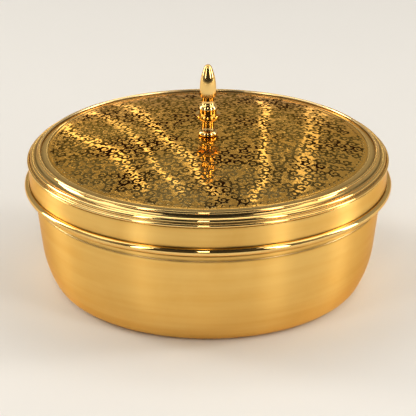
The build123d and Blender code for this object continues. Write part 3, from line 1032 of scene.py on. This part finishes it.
class SPICEBOX_OT_spoon(bpy.types.Operator):
    """Shape the small spoon that lies across the middle cup"""

    bl_idname = "spice_box.spoon"
    bl_label = "Make Spoon"

    def execute(self, context):
        dish_r = (SPOON_R**2 + SPOON_DEPTH**2) / (2 * SPOON_DEPTH)
        rise = dish_r - SPOON_DEPTH
        outer_end = math.degrees(math.asin(SPOON_R / dish_r))
        face_r = dish_r - SPOON_SHEET
        inner_end = math.degrees(math.acos(rise / face_r))
        outer = arc((0, rise), dish_r, -90, -90 + outer_end, 12)
        inner = arc((0, rise), face_r, -90, -90 + inner_end, 12)
        bm = spun([*outer, *reversed(inner)], SMALL_STEPS)

        root = SPOON_R - HANDLE_LAP
        waist = (SPOON_R + HANDLE_REACH) / 3
        end = HANDLE_REACH - HANDLE_WIDE
        narrowing = HANDLE_WAIST - HANDLE_WIDE
        grid = bmesh.ops.create_grid(bm, x_segments=28, y_segments=6, size=1.0)
        for vert in grid["verts"]:
            t, side = (vert.co.x + 1) / 2, vert.co.y
            along = root + (HANDLE_REACH - root) * t
            if along < waist:
                half = HANDLE_WIDE + narrowing * (along - root) / (waist - root)
            elif along < end:
                half = HANDLE_WAIST - narrowing * (along - waist) / (end - waist)
            else:
                half = math.sqrt(max(HANDLE_WIDE**2 - (along - end) ** 2, HANDLE_END**2))
            dish = -HANDLE_HOLLOW * (1 - side * side)
            vert.co = Vector((along, side * half, dish + HANDLE_T / 2 - HANDLE_SINK)) * MM
        faces = list({face for vert in grid["verts"] for face in vert.link_faces})
        made = bmesh.ops.extrude_face_region(bm, geom=faces)
        lowered = [item for item in made["geom"] if isinstance(item, bmesh.types.BMVert)]
        for vert in lowered:
            share = abs(vert.co.y / MM / HANDLE_WIDE)
            vert.co.z = (-HANDLE_T / 2 + HANDLE_ROUNDING * share**2) * MM
        bmesh.ops.recalc_face_normals(bm, faces=bm.faces)

        low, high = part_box("spoon")
        middle_x = low.x + SPOON_R * math.cos(SPOON_LEAN) * MM
        middle_z = low.z + (dish_r - rise * math.cos(SPOON_LEAN)) * MM
        lean = Matrix.Rotation(-SPOON_LEAN, 4, "Y")
        bm.transform(Matrix.Translation((middle_x, 0, middle_z)) @ lean)
        finish_piece(bm, "spoon_body", [finish_named("Spoon Brass")], "spoon", ["spoon"])
        return {"FINISHED"}


class SPICEBOX_OT_stage(bpy.types.Operator):
    """Set the floor, the lamps, the surroundings and the camera"""

    bl_idname = "spice_box.stage"
    bl_label = "Set Stage"

    def execute(self, context):
        studio = context.scene.spice_box.studio
        make_floor(studio)
        make_surroundings(context.scene)
        for name, (azimuth, elevation, away, size, glow, lean) in LAMPS.items():
            make_lamp(name, azimuth, elevation, away, size, glow * studio.level, math.radians(lean), studio)
        make_camera(context.scene, studio)
        return {"FINISHED"}


def make_floor(studio):
    """A wide plain floor."""
    bm = bmesh.new()
    bmesh.ops.create_circle(bm, cap_ends=True, segments=96, radius=FLOOR_R)
    mesh = bpy.data.meshes.new("floor")
    bm.to_mesh(mesh)
    bm.free()
    material = bpy.data.materials.new("Plain Floor")
    material.use_nodes = True
    shader = material.node_tree.nodes["Principled BSDF"]
    shader.inputs["Base Color"].default_value = (*studio.floor, 1.0)
    shader.inputs["Roughness"].default_value = 0.75
    shader.inputs["Specular IOR Level"].default_value = 0.25
    mesh.materials.append(material)
    floor = bpy.data.objects.new("floor", mesh)
    bpy.context.scene.collection.objects.link(floor)


def make_surroundings(scene):
    """A plain studio all round: pale behind the box, dim behind the camera and dark overhead."""
    world = bpy.data.worlds.new("Studio")
    world.use_nodes = True
    scene.world = world
    tree = world.node_tree
    background = tree.nodes["Background"]
    direction = put(tree, "ShaderNodeTexCoord")
    split = put(tree, "ShaderNodeSeparateXYZ")
    join(tree, direction, "Generated", split, 0)
    ramp = put(tree, "ShaderNodeValToRGB")
    join(tree, split, "Z", ramp, "Fac")
    while len(ramp.color_ramp.elements) < len(SKY_STOPS):
        ramp.color_ramp.elements.new(0.5)
    for element, (place, level) in zip(ramp.color_ramp.elements, SKY_STOPS):
        element.position = place
        element.color = (level, level * 0.98, level * 0.95, 1.0)
    front = remap(
        tree, split, "Y", {"From Min": -0.15, "From Max": -0.80, "To Min": 1.0, "To Max": 0.12},
        interpolation_type="SMOOTHSTEP")
    join(tree, ramp, "Color", background, "Color")
    join(tree, front, 0, background, "Strength")


def make_lamp(name, azimuth, elevation, away, size, glow, lean, studio):
    """A soft rectangular lamp that points at the box, azimuth degrees to the right of the camera."""
    light = bpy.data.lights.new(name, "AREA")
    light.shape = "RECTANGLE"
    light.size, light.size_y = size
    light.energy = glow * math.pi * size[0] * size[1]
    light.color = studio.lamp_colour
    turn, rise = math.radians(azimuth), math.radians(elevation)
    out = Vector((math.sin(turn) * math.cos(rise), -math.cos(turn) * math.cos(rise), math.sin(rise)))
    lamp = bpy.data.objects.new(name, light)
    lamp.location = Vector((0, 0, studio.aim)) + out * away
    lamp.rotation_euler = ((-out).to_track_quat("-Z", "Y") @ Quaternion((0, 0, 1), lean)).to_euler()
    lamp.visible_camera = False
    bpy.context.scene.collection.objects.link(lamp)


def make_camera(scene, studio):
    """The photograph's view of the box."""
    data = bpy.data.cameras.new("view")
    data.lens = studio.lens
    data.sensor_width = 36.0
    data.clip_end = 60.0
    camera = bpy.data.objects.new("view", data)
    back = Vector((0, -math.cos(studio.elevation), math.sin(studio.elevation)))
    camera.location = Vector((0, 0, studio.aim)) + back * studio.distance
    camera.rotation_euler = (-back).to_track_quat("-Z", "Y").to_euler()
    scene.collection.objects.link(camera)
    scene.camera = camera
    scene.view_settings.view_transform = "Standard"


class SPICEBOX_PT_panel(bpy.types.Panel):
    """Panel with the box's settings and steps"""

    bl_label = "Spice Box"
    bl_space_type = "VIEW_3D"
    bl_region_type = "UI"
    bl_category = "Spice Box"

    def draw(self, context):
        settings = context.scene.spice_box
        for group in (settings.colours, settings.engraving, settings.studio):
            column = self.layout.box().column()
            for name in group.bl_rna.properties.keys():
                if name not in {"rna_type", "name"}:
                    column.prop(group, name)
        for step in STEPS:
            self.layout.operator(step.bl_idname)


STEPS = (
    SPICEBOX_OT_bowl, SPICEBOX_OT_lid, SPICEBOX_OT_engraving, SPICEBOX_OT_finial,
    SPICEBOX_OT_cups, SPICEBOX_OT_spoon, SPICEBOX_OT_stage,
)
CLASSES = (BrassColours, EngravingSizes, StudioSettings, SpiceBoxSettings, *STEPS, SPICEBOX_PT_panel)


def register():
    for cls in CLASSES:
        bpy.utils.register_class(cls)
    bpy.types.Scene.spice_box = bpy.props.PointerProperty(type=SpiceBoxSettings)


def unregister():
    del bpy.types.Scene.spice_box
    for cls in reversed(CLASSES):
        bpy.utils.unregister_class(cls)


def main():
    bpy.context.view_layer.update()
    register()
    bpy.ops.spice_box.bowl()
    bpy.ops.spice_box.lid()
    bpy.ops.spice_box.engraving()
    bpy.ops.spice_box.finial()
    bpy.ops.spice_box.cups()
    bpy.ops.spice_box.spoon()
    bpy.ops.spice_box.stage()


if __name__ == "__main__":
    main()
